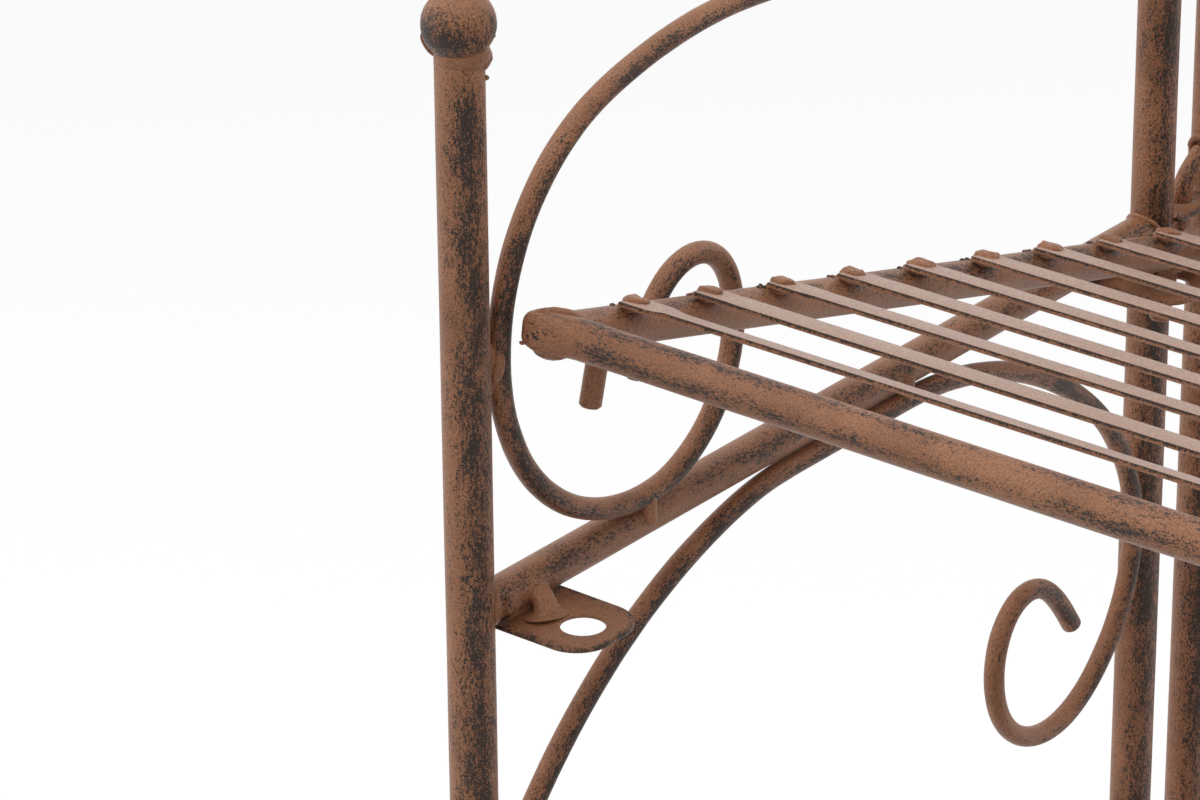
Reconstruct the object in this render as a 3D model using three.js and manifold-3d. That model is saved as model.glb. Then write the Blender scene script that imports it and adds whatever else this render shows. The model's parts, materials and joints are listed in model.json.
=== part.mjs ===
// Folding plant rack of round steel tube and wire, with three plug-in slatted trays.
// Units are millimetres and Z is up. X runs across the rack and Y runs from front to back.
// The origin is on the floor, midway between the side frames and midway in depth.
import * as THREE from 'three';
import { mergeVertices } from 'three/addons/utils/BufferGeometryUtils.js';
import Module from 'manifold-3d';

const wasm = await Module();
wasm.setup();

// Main sizes of the rack
const rackWidth = 580; // between the axes of the left and the right posts
const frameDepth = 297; // from the front post axis to the rear post axis of a side frame
const tierPitch = 320; // from one tray level to the next
const bottomTier = 110; // height of the lowest side rail's axis
const backFrameOffset = 30; // from a side frame's rear post to the back frame's post
const tierNames = ['bottom', 'middle', 'top'];

// Tubes and wire
const postDiameter = 12;
const railDiameter = 10.1;
const tubeWall = 1;
const wireDiameter = 5.8;
const seatGap = 0.3; // between two pieces that are welded together or rest on each other

// Posts above the top tray level
const frontPostRise = 145.1;
const rearPostRise = 255;

// Ball finials: a solid ball with a plug in the tube's open end
const ballDiameter = 17.8;
const ballPlugLength = 9;
const plugClearance = 0.3;

// Feet: a cup that each post stands in
const footWall = 1.5;
const footHeight = 16;
const footFloor = 3;

// Trays
const trayInset = 18; // from the post axis to the tray's side bar axis, across the rack
const trayEndInset = 2.75; // from the post axis to the tray's front bar axis, in depth
const slatCount = 9;
const slatMargin = 24; // from the tray's front bar axis to the first slat's middle
const slatWidth = 10;
const slatThickness = 1.3;
const middleRodDiameter = 8;
const weldDepth = 0.2; // how far the middle rod is let into the slats
const pinDiameter = 5.6;
const pinLength = 14.8; // below the underside of the tray's side bar
const pinChamfer = 0.7;
const pinSetback = 16.2; // from the tray's front bar axis to the pin's axis
const topTrayTiltDeg = 15; // the top tray stands tipped up at its front

// Tabs that carry the trays' pins
const tabThickness = 1.2;
const tabWidth = 26.2;
const tabSetback = 19.6; // from the post axis to the tab's middle, in depth
const tabHoleDiameter = 11.4;
const tabHoleReach = 19.2; // from the side rail's axis to the hole's middle
const tabEndMargin = 5; // plate beyond the hole
const tabCornerRadius = 10;

// Gate hinges between the side frames and the back frame
const lugWidth = 16;
const lugHoleDiameter = 6.6;
const lugHoleReach = 15; // from the rear post's axis to the hole's middle
const lugEndMargin = 4.2; // plate beyond the hole
const lugRise = 3; // from the tray level to the lug's upper face
const pintleBendRadius = 9;
const pintleSlopeDeg = 45;
const pintleTail = 14; // below the lug's upper face

// Standing scroll over the top rail: a curl at the front, then a rise to the rear post.
// Radii are shares of the distance between the two posts' inner contact points.
const standCurlShares = [
  { radius: 0.205, sweepDeg: 90 },
  { radius: 0.1266, sweepDeg: 102.4 },
  { radius: 0.0676, sweepDeg: 114.6 },
  { radius: 0.084, sweepDeg: 62 },
];
const standRiseShares = [
  { radius: 0.2064, sweepDeg: -43.4 },
  { radius: 0.1309, sweepDeg: -28.2 },
  { radius: 1.062, sweepDeg: -12.4 },
  { radius: 1.502, sweepDeg: 24.5 },
];
const standTopShares = [
  { radius: 0.086, sweepDeg: 90 },
  { radius: 0.072, sweepDeg: 90 },
  { radius: 0.058, sweepDeg: 90 },
  { radius: 0.046, sweepDeg: 70 },
];

// Hanging scroll under the top and middle rails: a wide arch that curls in at both ends
const hangRearShares = [
  { radius: 0.5168, sweepDeg: -37 },
  { radius: 0.2686, sweepDeg: -28.5 },
  { radius: 0.1903, sweepDeg: -24.5 },
];
const hangFrontShares = [
  { radius: 1.494, sweepDeg: 11.4 },
  { radius: 0.3923, sweepDeg: 45.9 },
  { radius: 0.2124, sweepDeg: 32.7 },
];
const hangCurlShares = [
  { radius: 0.221, sweepDeg: -42.8 },
  { radius: 0.1127, sweepDeg: -142.6 },
  { radius: 0.0615, sweepDeg: -118.7 },
  { radius: 0.128, sweepDeg: -30.9 },
];

// Arched top rail of the back frame
const archSpring = 170; // from the top tray level to the arch's ends
const archRise = 85;

// Facet counts
const postSides = 16;
const railSides = 12;
const wireSides = 8;
const ballSides = 14;
const ballBands = 8;
const archSteps = 14;
const cornerSteps = 5;
const bendTolerance = 0.6; // how far a facet of bent wire may lie from its arc

// Sizes that follow from the ones above
const postRadius = postDiameter / 2;
const railRadius = railDiameter / 2;
const wireRadius = wireDiameter / 2;
const pinRadius = pinDiameter / 2;
const ballRadius = ballDiameter / 2;
const postBore = postRadius - tubeWall;
const postX = rackWidth / 2;
const trayHalfWidth = postX - trayInset;
const trayHalfDepth = frameDepth / 2 - trayEndInset;
const topTier = bottomTier + tierPitch * (tierNames.length - 1);
const frontY = -(frameDepth + backFrameOffset) / 2;
const rearY = frontY + frameDepth;
const backY = rearY + backFrameOffset;
const wireInset = postRadius - wireRadius; // the wire lies flush with the posts' inner faces
const tabTop = -railRadius - seatGap; // from the tray level
const pivotY = frameDepth / 2 - tabSetback + tabWidth / 2; // the rear tabs' rear edge, from mid depth
const quarterTurn = Math.PI / 2;

// Paints
const paints = {
  post: { color: 0x96654c, roughness: 0.78, metalness: 0.1 },
  rail: { color: 0x9a684e, roughness: 0.8, metalness: 0.1 },
  wire: { color: 0x8f6049, roughness: 0.8, metalness: 0.1 },
  plate: { color: 0x84594a, roughness: 0.74, metalness: 0.15 },
  slat: { color: 0xb08a78, roughness: 0.82, metalness: 0.1 },
  foot: { color: 0x2b2624, roughness: 0.6, metalness: 0 },
};

const radians = THREE.MathUtils.degToRad;

function groupAt(parent, x, y, z) {
  const child = new THREE.Group();
  child.position.set(x, y, z);
  parent.add(child);
  return child;
}

function addPiece(parent, name, geometry, paint) {
  const closed = geometry.attributes.normal ? solid(geometry) : geometry;
  closed.computeVertexNormals();
  const mesh = new THREE.Mesh(closed, new THREE.MeshStandardMaterial(paints[paint]));
  mesh.name = name;
  parent.add(mesh);
  return mesh;
}

// Keeps only the positions, joins equal points and turns an inside-out solid
function solid(geometry) {
  geometry.deleteAttribute('normal');
  geometry.deleteAttribute('uv');
  const merged = mergeVertices(geometry);
  if (volumeOf(merged) < 0) {
    const index = merged.index.array;
    for (let i = 0; i < index.length; i += 3) {
      [index[i], index[i + 1]] = [index[i + 1], index[i]];
    }
  }
  return merged;
}

function volumeOf(geometry) {
  const index = geometry.index.array;
  const corners = [new THREE.Vector3(), new THREE.Vector3(), new THREE.Vector3()];
  let sum = 0;
  for (let i = 0; i < index.length; i += 3) {
    corners.forEach((corner, k) => corner.fromBufferAttribute(geometry.attributes.position, index[i + k]));
    sum += corners[0].dot(corners[1].cross(corners[2]));
  }
  return sum;
}

function toManifold(geometry) {
  const merged = solid(geometry);
  const vertProperties = new Float32Array(merged.attributes.position.array);
  const triVerts = new Uint32Array(merged.index.array);
  return new wasm.Manifold(new wasm.Mesh({ numProp: 3, vertProperties, triVerts }));
}

function fromManifold(body) {
  const mesh = body.getMesh();
  const geometry = new THREE.BufferGeometry();
  geometry.setAttribute('position', new THREE.BufferAttribute(mesh.vertProperties, 3));
  geometry.setIndex(new THREE.BufferAttribute(mesh.triVerts, 1));
  return geometry;
}

function joined(geometries) {
  return fromManifold(geometries.map(toManifold).reduce((a, b) => a.add(b)));
}

function cut(geometry, tools) {
  return fromManifold([geometry, ...tools].map(toManifold).reduce((a, b) => a.subtract(b)));
}

// Round bars along the three axes, centred on the origin
function barX(radius, length, sides) {
  return new THREE.CylinderGeometry(radius, radius, length, sides).rotateZ(quarterTurn);
}

function barY(radius, length, sides) {
  return new THREE.CylinderGeometry(radius, radius, length, sides);
}

function barZ(radius, length, sides) {
  return new THREE.CylinderGeometry(radius, radius, length, sides).rotateX(quarterTurn);
}

// A profile of radius and height pairs turned about the Z axis
function turned(profile, sides) {
  const points = profile.map(([radius, height]) => new THREE.Vector2(radius, height));
  return new THREE.LatheGeometry(points, sides).rotateX(quarterTurn);
}

function tube(radius, length, sides) {
  const bore = radius - tubeWall;
  const outline = [
    [bore, 0],
    [radius, 0],
    [radius, length],
    [bore, length],
    [bore, 0],
  ];
  return turned(outline, sides);
}

// Shapes a tube's end to an upright post that stands at x, y
function coped(geometry, places) {
  const tools = places.map(([x, y]) => {
    return barZ(postRadius + seatGap, rackWidth, postSides).translate(x, y, 0);
  });
  return cut(geometry, tools);
}

function bendSteps(radius, sweep) {
  const step = 2 * Math.acos(1 - bendTolerance / radius);
  return Math.ceil(Math.abs(sweep) / step);
}

// One arc of a bent wire in the YZ plane. A positive sweep turns to the left when Y points
// to the right and Z points up.
function arcPiece([y, z], heading, { radius, sweepDeg }) {
  const sweep = radians(sweepDeg);
  const side = Math.sign(sweep);
  const middleY = y - side * radius * Math.sin(heading);
  const middleZ = z + side * radius * Math.cos(heading);
  const turn = (t) => heading + sweep * t;
  return {
    steps: bendSteps(radius, sweep),
    sweep,
    at: (t) => [middleY + side * radius * Math.sin(turn(t)), middleZ - side * radius * Math.cos(turn(t))],
    along: (t) => [Math.cos(turn(t)), Math.sin(turn(t))],
  };
}

function straightPiece([y, z], heading, { length }) {
  return {
    steps: 1,
    sweep: 0,
    at: (t) => [y + Math.cos(heading) * length * t, z + Math.sin(heading) * length * t],
    along: () => [Math.cos(heading), Math.sin(heading)],
  };
}

// Arcs and straight lengths, each starting where the last one ends and in its direction
function bentPieces(start, startHeading, moves) {
  const pieces = [];
  let place = start;
  let heading = startHeading;
  for (const move of moves) {
    const makePiece = move.radius === undefined ? straightPiece : arcPiece;
    const piece = makePiece(place, heading, move);
    pieces.push(piece);
    place = piece.at(1);
    heading += piece.sweep;
  }
  return pieces;
}

// The same pieces walked from their end to their start
function reversed(pieces) {
  const back = ({ steps, sweep, at, along }) => ({
    steps,
    sweep: -sweep,
    at: (t) => at(1 - t),
    along: (t) => along(1 - t).map((value) => -value),
  });
  return pieces.map(back).reverse();
}

class WirePath extends THREE.Curve {
  constructor(pieces) {
    super();
    this.pieces = pieces;
    this.steps = pieces.reduce((sum, piece) => sum + piece.steps, 0);
  }

  locate(t) {
    let left = t * this.steps;
    let k = 0;
    while (k < this.pieces.length - 1 && left > this.pieces[k].steps) {
      left -= this.pieces[k].steps;
      k += 1;
    }
    return [this.pieces[k], left / this.pieces[k].steps];
  }

  getPoint(t) {
    const [piece, share] = this.locate(t);
    return new THREE.Vector3(0, ...piece.at(share));
  }

  getTangent(t) {
    const [piece, share] = this.locate(t);
    return new THREE.Vector3(0, ...piece.along(share));
  }

  // Steps follow the bends and not the length, so that each arc keeps its own facets
  getPointAt(t) {
    return this.getPoint(t);
  }

  getTangentAt(t) {
    return this.getTangent(t);
  }
}

// Round bar along a path. An arc in a shape gets twice as many facets as its curve segments.
function barAlong(extrudePath, steps, radius, sides) {
  const section = new THREE.Shape();
  section.absarc(0, 0, radius, 0, 4 * quarterTurn);
  return new THREE.ExtrudeGeometry(section, { extrudePath, steps, curveSegments: sides / 2 });
}

function wire(pieces) {
  const path = new WirePath(pieces);
  return barAlong(path, path.steps, wireRadius, wireSides);
}

// Distance in the frame's plane from a tube's axis to the wire that touches the tube
function wireReach(tubeRadius) {
  return Math.sqrt((tubeRadius + wireRadius + seatGap) ** 2 - wireInset ** 2);
}

const frontTouch = wireReach(postRadius);
const rearTouch = frameDepth - frontTouch;
const scrollSpan = rearTouch - frontTouch;
const railTouch = wireReach(railRadius);

function scrollArcs(shares) {
  return shares.map(({ radius, sweepDeg }) => ({ radius: radius * scrollSpan, sweepDeg }));
}

// How far a row of arcs gets in depth
function depthOf(heading, moves) {
  const pieces = bentPieces([0, 0], heading, moves);
  return pieces[pieces.length - 1].at(1)[0];
}

// Curls up from the front post, and rises over the tray to a curl at the rear post.
// The last turn before that curl takes up what is left, so the wire ends upright at the post.
function standingScroll() {
  const curl = scrollArcs(standCurlShares);
  const rise = scrollArcs(standRiseShares);
  const touch = [frontTouch, railTouch + curl[0].radius];
  const riseTurn = rise.reduce((sum, move) => sum + radians(move.sweepDeg), quarterTurn);
  const left = scrollSpan - depthOf(quarterTurn, rise);
  const upright = {
    radius: left / (1 - Math.sin(riseTurn)),
    sweepDeg: THREE.MathUtils.radToDeg(quarterTurn - riseTurn),
  };
  const down = bentPieces(touch, -quarterTurn, curl);
  const up = bentPieces(touch, quarterTurn, [...rise, upright, ...scrollArcs(standTopShares)]);
  return wire([...reversed(down), ...up]);
}

// A wide arch that touches the rail and both posts and curls in at its two ends
function hangingScroll() {
  const rear = scrollArcs(hangRearShares);
  const front = scrollArcs(hangFrontShares);
  const curl = scrollArcs(hangCurlShares);
  const mirroredCurl = curl.map(({ radius, sweepDeg }) => ({ radius, sweepDeg: -sweepDeg }));
  const crown = [rearTouch - depthOf(0, rear), -railTouch];
  const length = scrollSpan - depthOf(0, rear) + depthOf(2 * quarterTurn, front);
  const back = bentPieces(crown, 0, [...rear, ...curl]);
  const fore = bentPieces(crown, 2 * quarterTurn, [{ length }, ...front, ...mirroredCurl]);
  return wire([...reversed(fore), ...back]);
}

// The ball rests on the tube's inner edge and its plug goes into the bore
function ball() {
  const plugRadius = postBore - plugClearance;
  const middle = Math.sqrt(ballRadius ** 2 - postBore ** 2) + seatGap;
  const neck = Math.asin(plugRadius / ballRadius);
  const profile = [
    [0, -ballPlugLength],
    [plugRadius, -ballPlugLength],
  ];
  for (let i = 0; i < ballBands; i += 1) {
    const angle = neck + ((Math.PI - neck) * i) / ballBands;
    profile.push([ballRadius * Math.sin(angle), middle - ballRadius * Math.cos(angle)]);
  }
  profile.push([0, middle + ballRadius]);
  return turned(profile, ballSides);
}

function foot() {
  const inner = postRadius + seatGap;
  const outer = inner + footWall;
  const outline = [
    [0, 0],
    [outer, 0],
    [outer, footHeight],
    [inner, footHeight],
    [inner, footFloor],
    [0, footFloor],
  ];
  return turned(outline, postSides);
}

// A post with its ball and its foot, standing at x, y
function addPost(parent, name, x, y, rise) {
  const place = groupAt(parent, x, y, 0);
  const bottom = footFloor + seatGap;
  const top = topTier + rise;
  addPiece(place, `${name}_post`, tube(postRadius, top - bottom, postSides), 'post').position.z = bottom;
  addPiece(place, `${name}_ball`, ball(), 'post').position.z = top;
  addPiece(place, `${name}_foot`, foot(), 'foot');
}

function sideRail() {
  const rail = tube(railRadius, frameDepth, railSides).rotateX(-quarterTurn);
  return coped(rail, [[0, 0], [0, frameDepth]]);
}

function backRail() {
  const rail = tube(railRadius, rackWidth, railSides).rotateY(quarterTurn).translate(-postX, 0, 0);
  return coped(rail, [[-postX, 0], [postX, 0]]);
}

// One arc of solid bar over the whole width, with its ends shaped to the two posts
class ArchPath extends THREE.Curve {
  constructor() {
    super();
    this.radius = (postX ** 2 + archRise ** 2) / (2 * archRise);
    this.halfAngle = Math.asin(postX / this.radius);
  }

  getPoint(t) {
    const angle = this.halfAngle * (2 * t - 1);
    const drop = this.radius * (1 - Math.cos(angle));
    return new THREE.Vector3(this.radius * Math.sin(angle), 0, archRise - drop);
  }
}

function backArch() {
  const arch = barAlong(new ArchPath(), archSteps, railRadius, railSides);
  return coped(arch, [[-postX, 0], [postX, 0]]);
}

// Flat plate along X with a rounded free end and a round hole, its upper face at zero height
function holedPlate({ start, width, holeReach, holeDiameter, endMargin, cornerRadius }) {
  const half = width / 2;
  const cornerX = holeReach + holeDiameter / 2 + endMargin - cornerRadius;
  const shape = new THREE.Shape();
  shape.moveTo(start, -half);
  shape.lineTo(cornerX, -half);
  shape.absarc(cornerX, cornerRadius - half, cornerRadius, -quarterTurn, 0);
  shape.absarc(cornerX, half - cornerRadius, cornerRadius, 0, quarterTurn);
  shape.lineTo(start, half);
  shape.closePath();
  const hole = new THREE.Path();
  hole.absarc(holeReach, 0, holeDiameter / 2, 0, 4 * quarterTurn, true);
  shape.holes.push(hole);
  const options = { depth: tabThickness, bevelEnabled: false, curveSegments: cornerSteps };
  return new THREE.ExtrudeGeometry(shape, options).translate(0, 0, -tabThickness);
}

// Reaches in from under the side rail to carry one pin of the tray
function tab() {
  return holedPlate({
    start: -railRadius,
    width: tabWidth,
    holeReach: tabHoleReach,
    holeDiameter: tabHoleDiameter,
    endMargin: tabEndMargin,
    cornerRadius: tabCornerRadius,
  });
}

// Reaches back from a rear post, notched round it, to take a pintle
function lug() {
  const plate = holedPlate({
    start: postRadius / 2,
    width: lugWidth,
    holeReach: lugHoleReach,
    holeDiameter: lugHoleDiameter,
    endMargin: lugEndMargin,
    cornerRadius: lugWidth / 2,
  });
  return coped(plate.rotateZ(quarterTurn), [[0, 0]]);
}

// Bent pin: leaves the back post downwards and forwards, then drops through the lug's hole
function pintle() {
  const reach = backFrameOffset - lugHoleReach;
  const slope = radians(pintleSlopeDeg);
  const pieces = bentPieces([-reach, -pintleTail], quarterTurn, [
    { length: pintleTail + wireRadius },
    { radius: pintleBendRadius, sweepDeg: pintleSlopeDeg - THREE.MathUtils.radToDeg(quarterTurn) },
    { length: reach / Math.cos(slope) },
  ]);
  const behind = new THREE.BoxGeometry(postDiameter, backFrameOffset, 2 * backFrameOffset);
  const post = barZ(postRadius + seatGap, rackWidth, postSides);
  return cut(wire(pieces), [post, behind.translate(0, backFrameOffset / 2, 0)]);
}

// Everything in a side frame that belongs to one tray level
function addSideTier(frame, name, side, tier) {
  const level = groupAt(frame, 0, 0, bottomTier + tierPitch * tier);
  const tierName = tierNames[tier];
  addPiece(level, `${name}_rail_${tierName}`, sideRail(), 'rail');
  for (const [place, y] of [['front', tabSetback], ['rear', frameDepth - tabSetback]]) {
    const plate = addPiece(level, `${name}_tab_${place}_${tierName}`, tab(), 'plate');
    plate.position.set(0, y, tabTop);
    plate.rotation.z = side < 0 ? 0 : Math.PI;
  }
  if (tier > 0) {
    const scroll = addPiece(level, `${name}_hanging_scroll_${tierName}`, hangingScroll(), 'wire');
    scroll.position.x = -side * wireInset;
  }
  return level;
}

function addSideFrame(rack, name, side) {
  const frame = groupAt(rack, side * postX, frontY, 0);
  addPost(frame, `${name}_front`, 0, 0, frontPostRise);
  addPost(frame, `${name}_rear`, 0, frameDepth, rearPostRise);
  const levels = tierNames.map((tierName, tier) => addSideTier(frame, name, side, tier));
  const topLevel = levels[levels.length - 1];
  const scroll = addPiece(topLevel, `${name}_standing_scroll`, standingScroll(), 'wire');
  scroll.position.x = -side * wireInset;
  for (const [place, level] of [['lower', levels[0]], ['upper', topLevel]]) {
    addPiece(level, `${name}_lug_${place}`, lug(), 'plate').position.set(0, frameDepth, lugRise);
  }
}

function addBackFrame(rack) {
  const frame = groupAt(rack, 0, backY, 0);
  const levels = tierNames.map((tierName, tier) => groupAt(frame, 0, 0, bottomTier + tierPitch * tier));
  levels.forEach((level, tier) => addPiece(level, `back_rail_${tierNames[tier]}`, backRail(), 'rail'));
  const topLevel = levels[levels.length - 1];
  addPiece(topLevel, 'back_arch', backArch(), 'rail').position.z = archSpring;
  for (const [name, side] of [['left', -1], ['right', 1]]) {
    addPost(frame, `back_${name}`, side * postX, 0, rearPostRise);
    for (const [place, level] of [['lower', levels[0]], ['upper', topLevel]]) {
      const pin = addPiece(level, `back_${name}_pintle_${place}`, pintle(), 'wire');
      pin.position.set(side * postX, 0, lugRise);
    }
  }
}

// Rectangle of round bar with mitred corners, measured to the bar's axis
function mitredRing(halfWidth, halfDepth, radius, sides) {
  const corners = [[1, 1], [-1, 1], [-1, -1], [1, -1]];
  const positions = [];
  const index = [];
  corners.forEach(([signX, signY], corner) => {
    for (let i = 0; i < sides; i += 1) {
      const angle = (4 * quarterTurn * i) / sides;
      const out = radius * Math.cos(angle);
      positions.push(signX * (halfWidth + out), signY * (halfDepth + out), radius * Math.sin(angle));
      const next = (i + 1) % sides;
      const here = corner * sides;
      const there = ((corner + 1) % corners.length) * sides;
      index.push(here + i, there + i, there + next, here + i, there + next, here + next);
    }
  });
  const geometry = new THREE.BufferGeometry();
  geometry.setAttribute('position', new THREE.Float32BufferAttribute(positions, 3));
  geometry.setIndex(index);
  return geometry;
}

// A pin from the bar's axis down, with a small chamfer round its lower end
function trayPin() {
  const low = -railRadius - pinLength;
  const outline = [
    [0, low],
    [pinRadius - pinChamfer, low],
    [pinRadius, low + pinChamfer],
    [pinRadius, 0],
    [0, 0],
  ];
  return turned(outline, railSides);
}

function trayFrame() {
  const parts = [mitredRing(trayHalfWidth, trayHalfDepth, railRadius, railSides)];
  const pinY = trayHalfDepth - pinSetback;
  for (const x of [-trayHalfWidth, trayHalfWidth]) {
    parts.push(trayPin().translate(x, -pinY, 0), trayPin().translate(x, pinY, 0));
  }
  return joined(parts);
}

// Flat slats over the side bars, tied together by a round rod under their middles
function traySlats() {
  const underside = railRadius + seatGap;
  const pitch = (2 * (trayHalfDepth - slatMargin)) / (slatCount - 1);
  const parts = [];
  for (let i = 0; i < slatCount; i += 1) {
    const slat = new THREE.BoxGeometry(2 * trayHalfWidth, slatWidth, slatThickness);
    parts.push(slat.translate(0, slatMargin - trayHalfDepth + pitch * i, underside + slatThickness / 2));
  }
  const rodRadius = middleRodDiameter / 2;
  const rod = barY(rodRadius, 2 * trayHalfDepth, railSides);
  rod.translate(0, 0, underside + weldDepth - rodRadius);
  const ends = [-trayHalfDepth, trayHalfDepth].map((y) => {
    return barX(railRadius + seatGap, 2 * middleRodDiameter, railSides).translate(0, y, 0);
  });
  parts.push(cut(rod, ends));
  return joined(parts);
}

// A tray that can be tipped about the rear edge of its rear tabs, front upwards
function addTray(rack, tier, tiltDeg) {
  const hinge = groupAt(rack, 0, (frontY + rearY) / 2 + pivotY, bottomTier + tierPitch * tier + tabTop);
  hinge.rotation.x = -radians(tiltDeg);
  const tray = groupAt(hinge, 0, -pivotY, -tabTop);
  addPiece(tray, `${tierNames[tier]}_tray_frame`, trayFrame(), 'rail');
  addPiece(tray, `${tierNames[tier]}_tray_slats`, traySlats(), 'slat');
}

function plantRack() {
  const rack = new THREE.Group();
  rack.name = 'plant_rack';
  addSideFrame(rack, 'left', -1);
  addSideFrame(rack, 'right', 1);
  addBackFrame(rack);
  tierNames.forEach((tierName, tier) => {
    addTray(rack, tier, tier === tierNames.length - 1 ? topTrayTiltDeg : 0);
  });
  return rack;
}

export default plantRack();
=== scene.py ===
# Looks of a plant rack of painted round tube and wire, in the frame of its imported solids.
# Units are metres. X runs across the rack, Y from front to back and Z up.
import json
from math import acos, atan2, ceil, cos, pi, radians, sin, sqrt, tan
from zlib import crc32

import bmesh
import bpy
import numpy as np
from mathutils import Matrix, Vector, noise

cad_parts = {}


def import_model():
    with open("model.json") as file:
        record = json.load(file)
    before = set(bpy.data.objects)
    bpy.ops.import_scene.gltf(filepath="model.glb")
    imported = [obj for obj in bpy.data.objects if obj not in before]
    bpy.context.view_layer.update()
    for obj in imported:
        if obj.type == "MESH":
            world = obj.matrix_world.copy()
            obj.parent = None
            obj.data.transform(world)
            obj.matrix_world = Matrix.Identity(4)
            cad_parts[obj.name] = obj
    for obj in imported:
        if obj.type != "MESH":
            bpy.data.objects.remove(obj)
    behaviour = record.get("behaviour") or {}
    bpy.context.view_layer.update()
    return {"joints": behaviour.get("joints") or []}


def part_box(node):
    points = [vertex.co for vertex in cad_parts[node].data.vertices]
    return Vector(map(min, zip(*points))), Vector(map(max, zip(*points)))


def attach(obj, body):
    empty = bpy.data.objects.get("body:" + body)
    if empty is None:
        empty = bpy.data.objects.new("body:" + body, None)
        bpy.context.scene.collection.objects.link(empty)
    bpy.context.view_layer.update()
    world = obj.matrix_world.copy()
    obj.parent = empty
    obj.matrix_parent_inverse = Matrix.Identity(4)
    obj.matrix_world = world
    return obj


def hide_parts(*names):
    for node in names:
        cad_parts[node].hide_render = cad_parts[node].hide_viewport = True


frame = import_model()

MM = 0.001
UP = np.array((0, 0, 1.0))


def middle(node):
    low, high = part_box(node)
    return (low + high) / 2


# Places, from the frame
TIERS = ("bottom", "middle", "top")
POST_X = middle("right_front_post").x
FRONT_Y = middle("left_front_post").y
REAR_Y = middle("left_rear_post").y
BACK_Y = middle("back_left_post").y
LEVELS = {tier: middle(f"left_rail_{tier}").z for tier in TIERS}
FRAME_DEPTH = REAR_Y - FRONT_Y
BACK_OFFSET = BACK_Y - REAR_Y

# Sizes of tubes and wire
POST_RADIUS = 6 * MM
RAIL_RADIUS = 5.05 * MM
WIRE_RADIUS = 2.9 * MM
WIRE_CHAMFER = 0.25 * MM
TUBE_WALL = 1 * MM
GAP = 0.3 * MM

# Detail of the meshes
POST_SIDES = 48
RAIL_SIDES = 40
WIRE_SIDES = 28
BEAD_SIDES = 14
TUBE_STEP = 6 * MM
WIRE_STEP = 2.2 * MM

# How deep and how wide the dents in each kind of bar are
TUBE_DENTS = (0.05 * MM, 30 * MM)
BAR_DENTS = (0.06 * MM, 22 * MM)
CORNER_DENTS = (0.5 * MM, 3.5 * MM)
ROD_DENTS = (0.05 * MM, 16 * MM)
WIRE_DENTS = (0.07 * MM, 9 * MM)
PINTLE_DENTS = (0.06 * MM, 8 * MM)
PIN_DENTS = (0.04 * MM, 5 * MM)
BALL_DENTS = (0.12 * MM, 5 * MM)

# Balls and feet
BALL_RADIUS = 8.9 * MM
FOOT_WALL = 1.5 * MM
FOOT_HEIGHT = 16 * MM
FOOT_FLOOR = 3 * MM

# Trays, measured from a tray's middle at the level of its bars' axes
TRAY_HALF_WIDTH = POST_X - 18 * MM
TRAY_HALF_DEPTH = FRAME_DEPTH / 2 - 2.75 * MM
SLAT_COUNT = 9
SLAT_MARGIN = 24 * MM
SLAT_WIDTH = 10 * MM
SLAT_THICKNESS = 1.3 * MM
ROD_RADIUS = 4 * MM
PIN_RADIUS = 2.8 * MM
PIN_LENGTH = 14.8 * MM
PIN_CHAMFER = 0.7 * MM
PIN_SETBACK = 16.2 * MM
CORNER_BULGE = 3.4 * MM
TAB_TOP = -RAIL_RADIUS - GAP
TRAY_TILTS = {"bottom": 0.0, "middle": 0.0, "top": radians(15)}

# Plates
PLATE_THICKNESS = 1.2 * MM
TAB_WIDTH = 26.2 * MM
TAB_SETBACK = 19.6 * MM
TAB_HOLE_RADIUS = 5.7 * MM
TAB_HOLE_REACH = 19.2 * MM
TAB_END_MARGIN = 5 * MM
TAB_CORNER = 10 * MM
LUG_WIDTH = 16 * MM
LUG_HOLE_RADIUS = 3.3 * MM
LUG_HOLE_REACH = 15 * MM
LUG_END_MARGIN = 4.2 * MM
LUG_RISE = 3 * MM

# Pintles
PINTLE_BEND = 9 * MM
PINTLE_SLOPE = radians(35)
PINTLE_TAIL = 14 * MM

# Arch of the back frame, from the top level
ARCH_SPRING = 170 * MM
ARCH_RISE = 85 * MM

# Scrolls: arcs as shares of the distance between the posts' contact points, and their sweeps
WIRE_INSET = POST_RADIUS - WIRE_RADIUS
STAND_CURL = ((0.2005, 90), (0.1279, 110.3), (0.0584, 102.8), (0.0978, 56.6))
STAND_RISE = ((0.2437, -10.6), (0.207, -61.8), (0.5607, -22.6), (1.2425, 20.1))
STAND_TOP = ((0.086, 90), (0.072, 90), (0.058, 90), (0.046, 70))
HANG_REAR = ((0.4757, -42.4), (0.3013, -21), (0.1895, -26.6))
HANG_FRONT = ((0.2, 8.6), (0.5371, 43.6), (0.12, 37.8))
HANG_CURL = ((0.1808, -60), (0.1018, -148.4), (0.0496, -105.9), (0.2998, -13.7))
CURVE_BLEND = 8 * MM
CUT_WEAR = 2.2

# Directions in which the dark patina lies, in a side frame's own axes (X inwards)
POST_STRIPE = (0.89, -0.46, 0)
RAIL_STRIPE = (0.78, 0, 0.62)
WIRE_STRIPE = (0.98, -0.16, -0.12)


# Meshes

SHARP_EDGE = radians(50)
# Every shape takes its own stretch of the paint's grain: so many places, so many millimetres apart
GRAIN_PLACES = 997
GRAIN_STEP = 7


def unit(vectors):
    vectors = np.asarray(vectors, float)
    return vectors / np.linalg.norm(vectors, axis=-1, keepdims=True)


def turns(count):
    """Evenly spaced angles, once round."""
    return 2 * pi * np.arange(count) / count


def circle(x, y, radius, angles, height=0.0):
    """Points round an upright axis."""
    height = np.broadcast_to(height, len(angles))
    return np.stack([x + radius * np.cos(angles), y + radius * np.sin(angles), height], 1)


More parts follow.
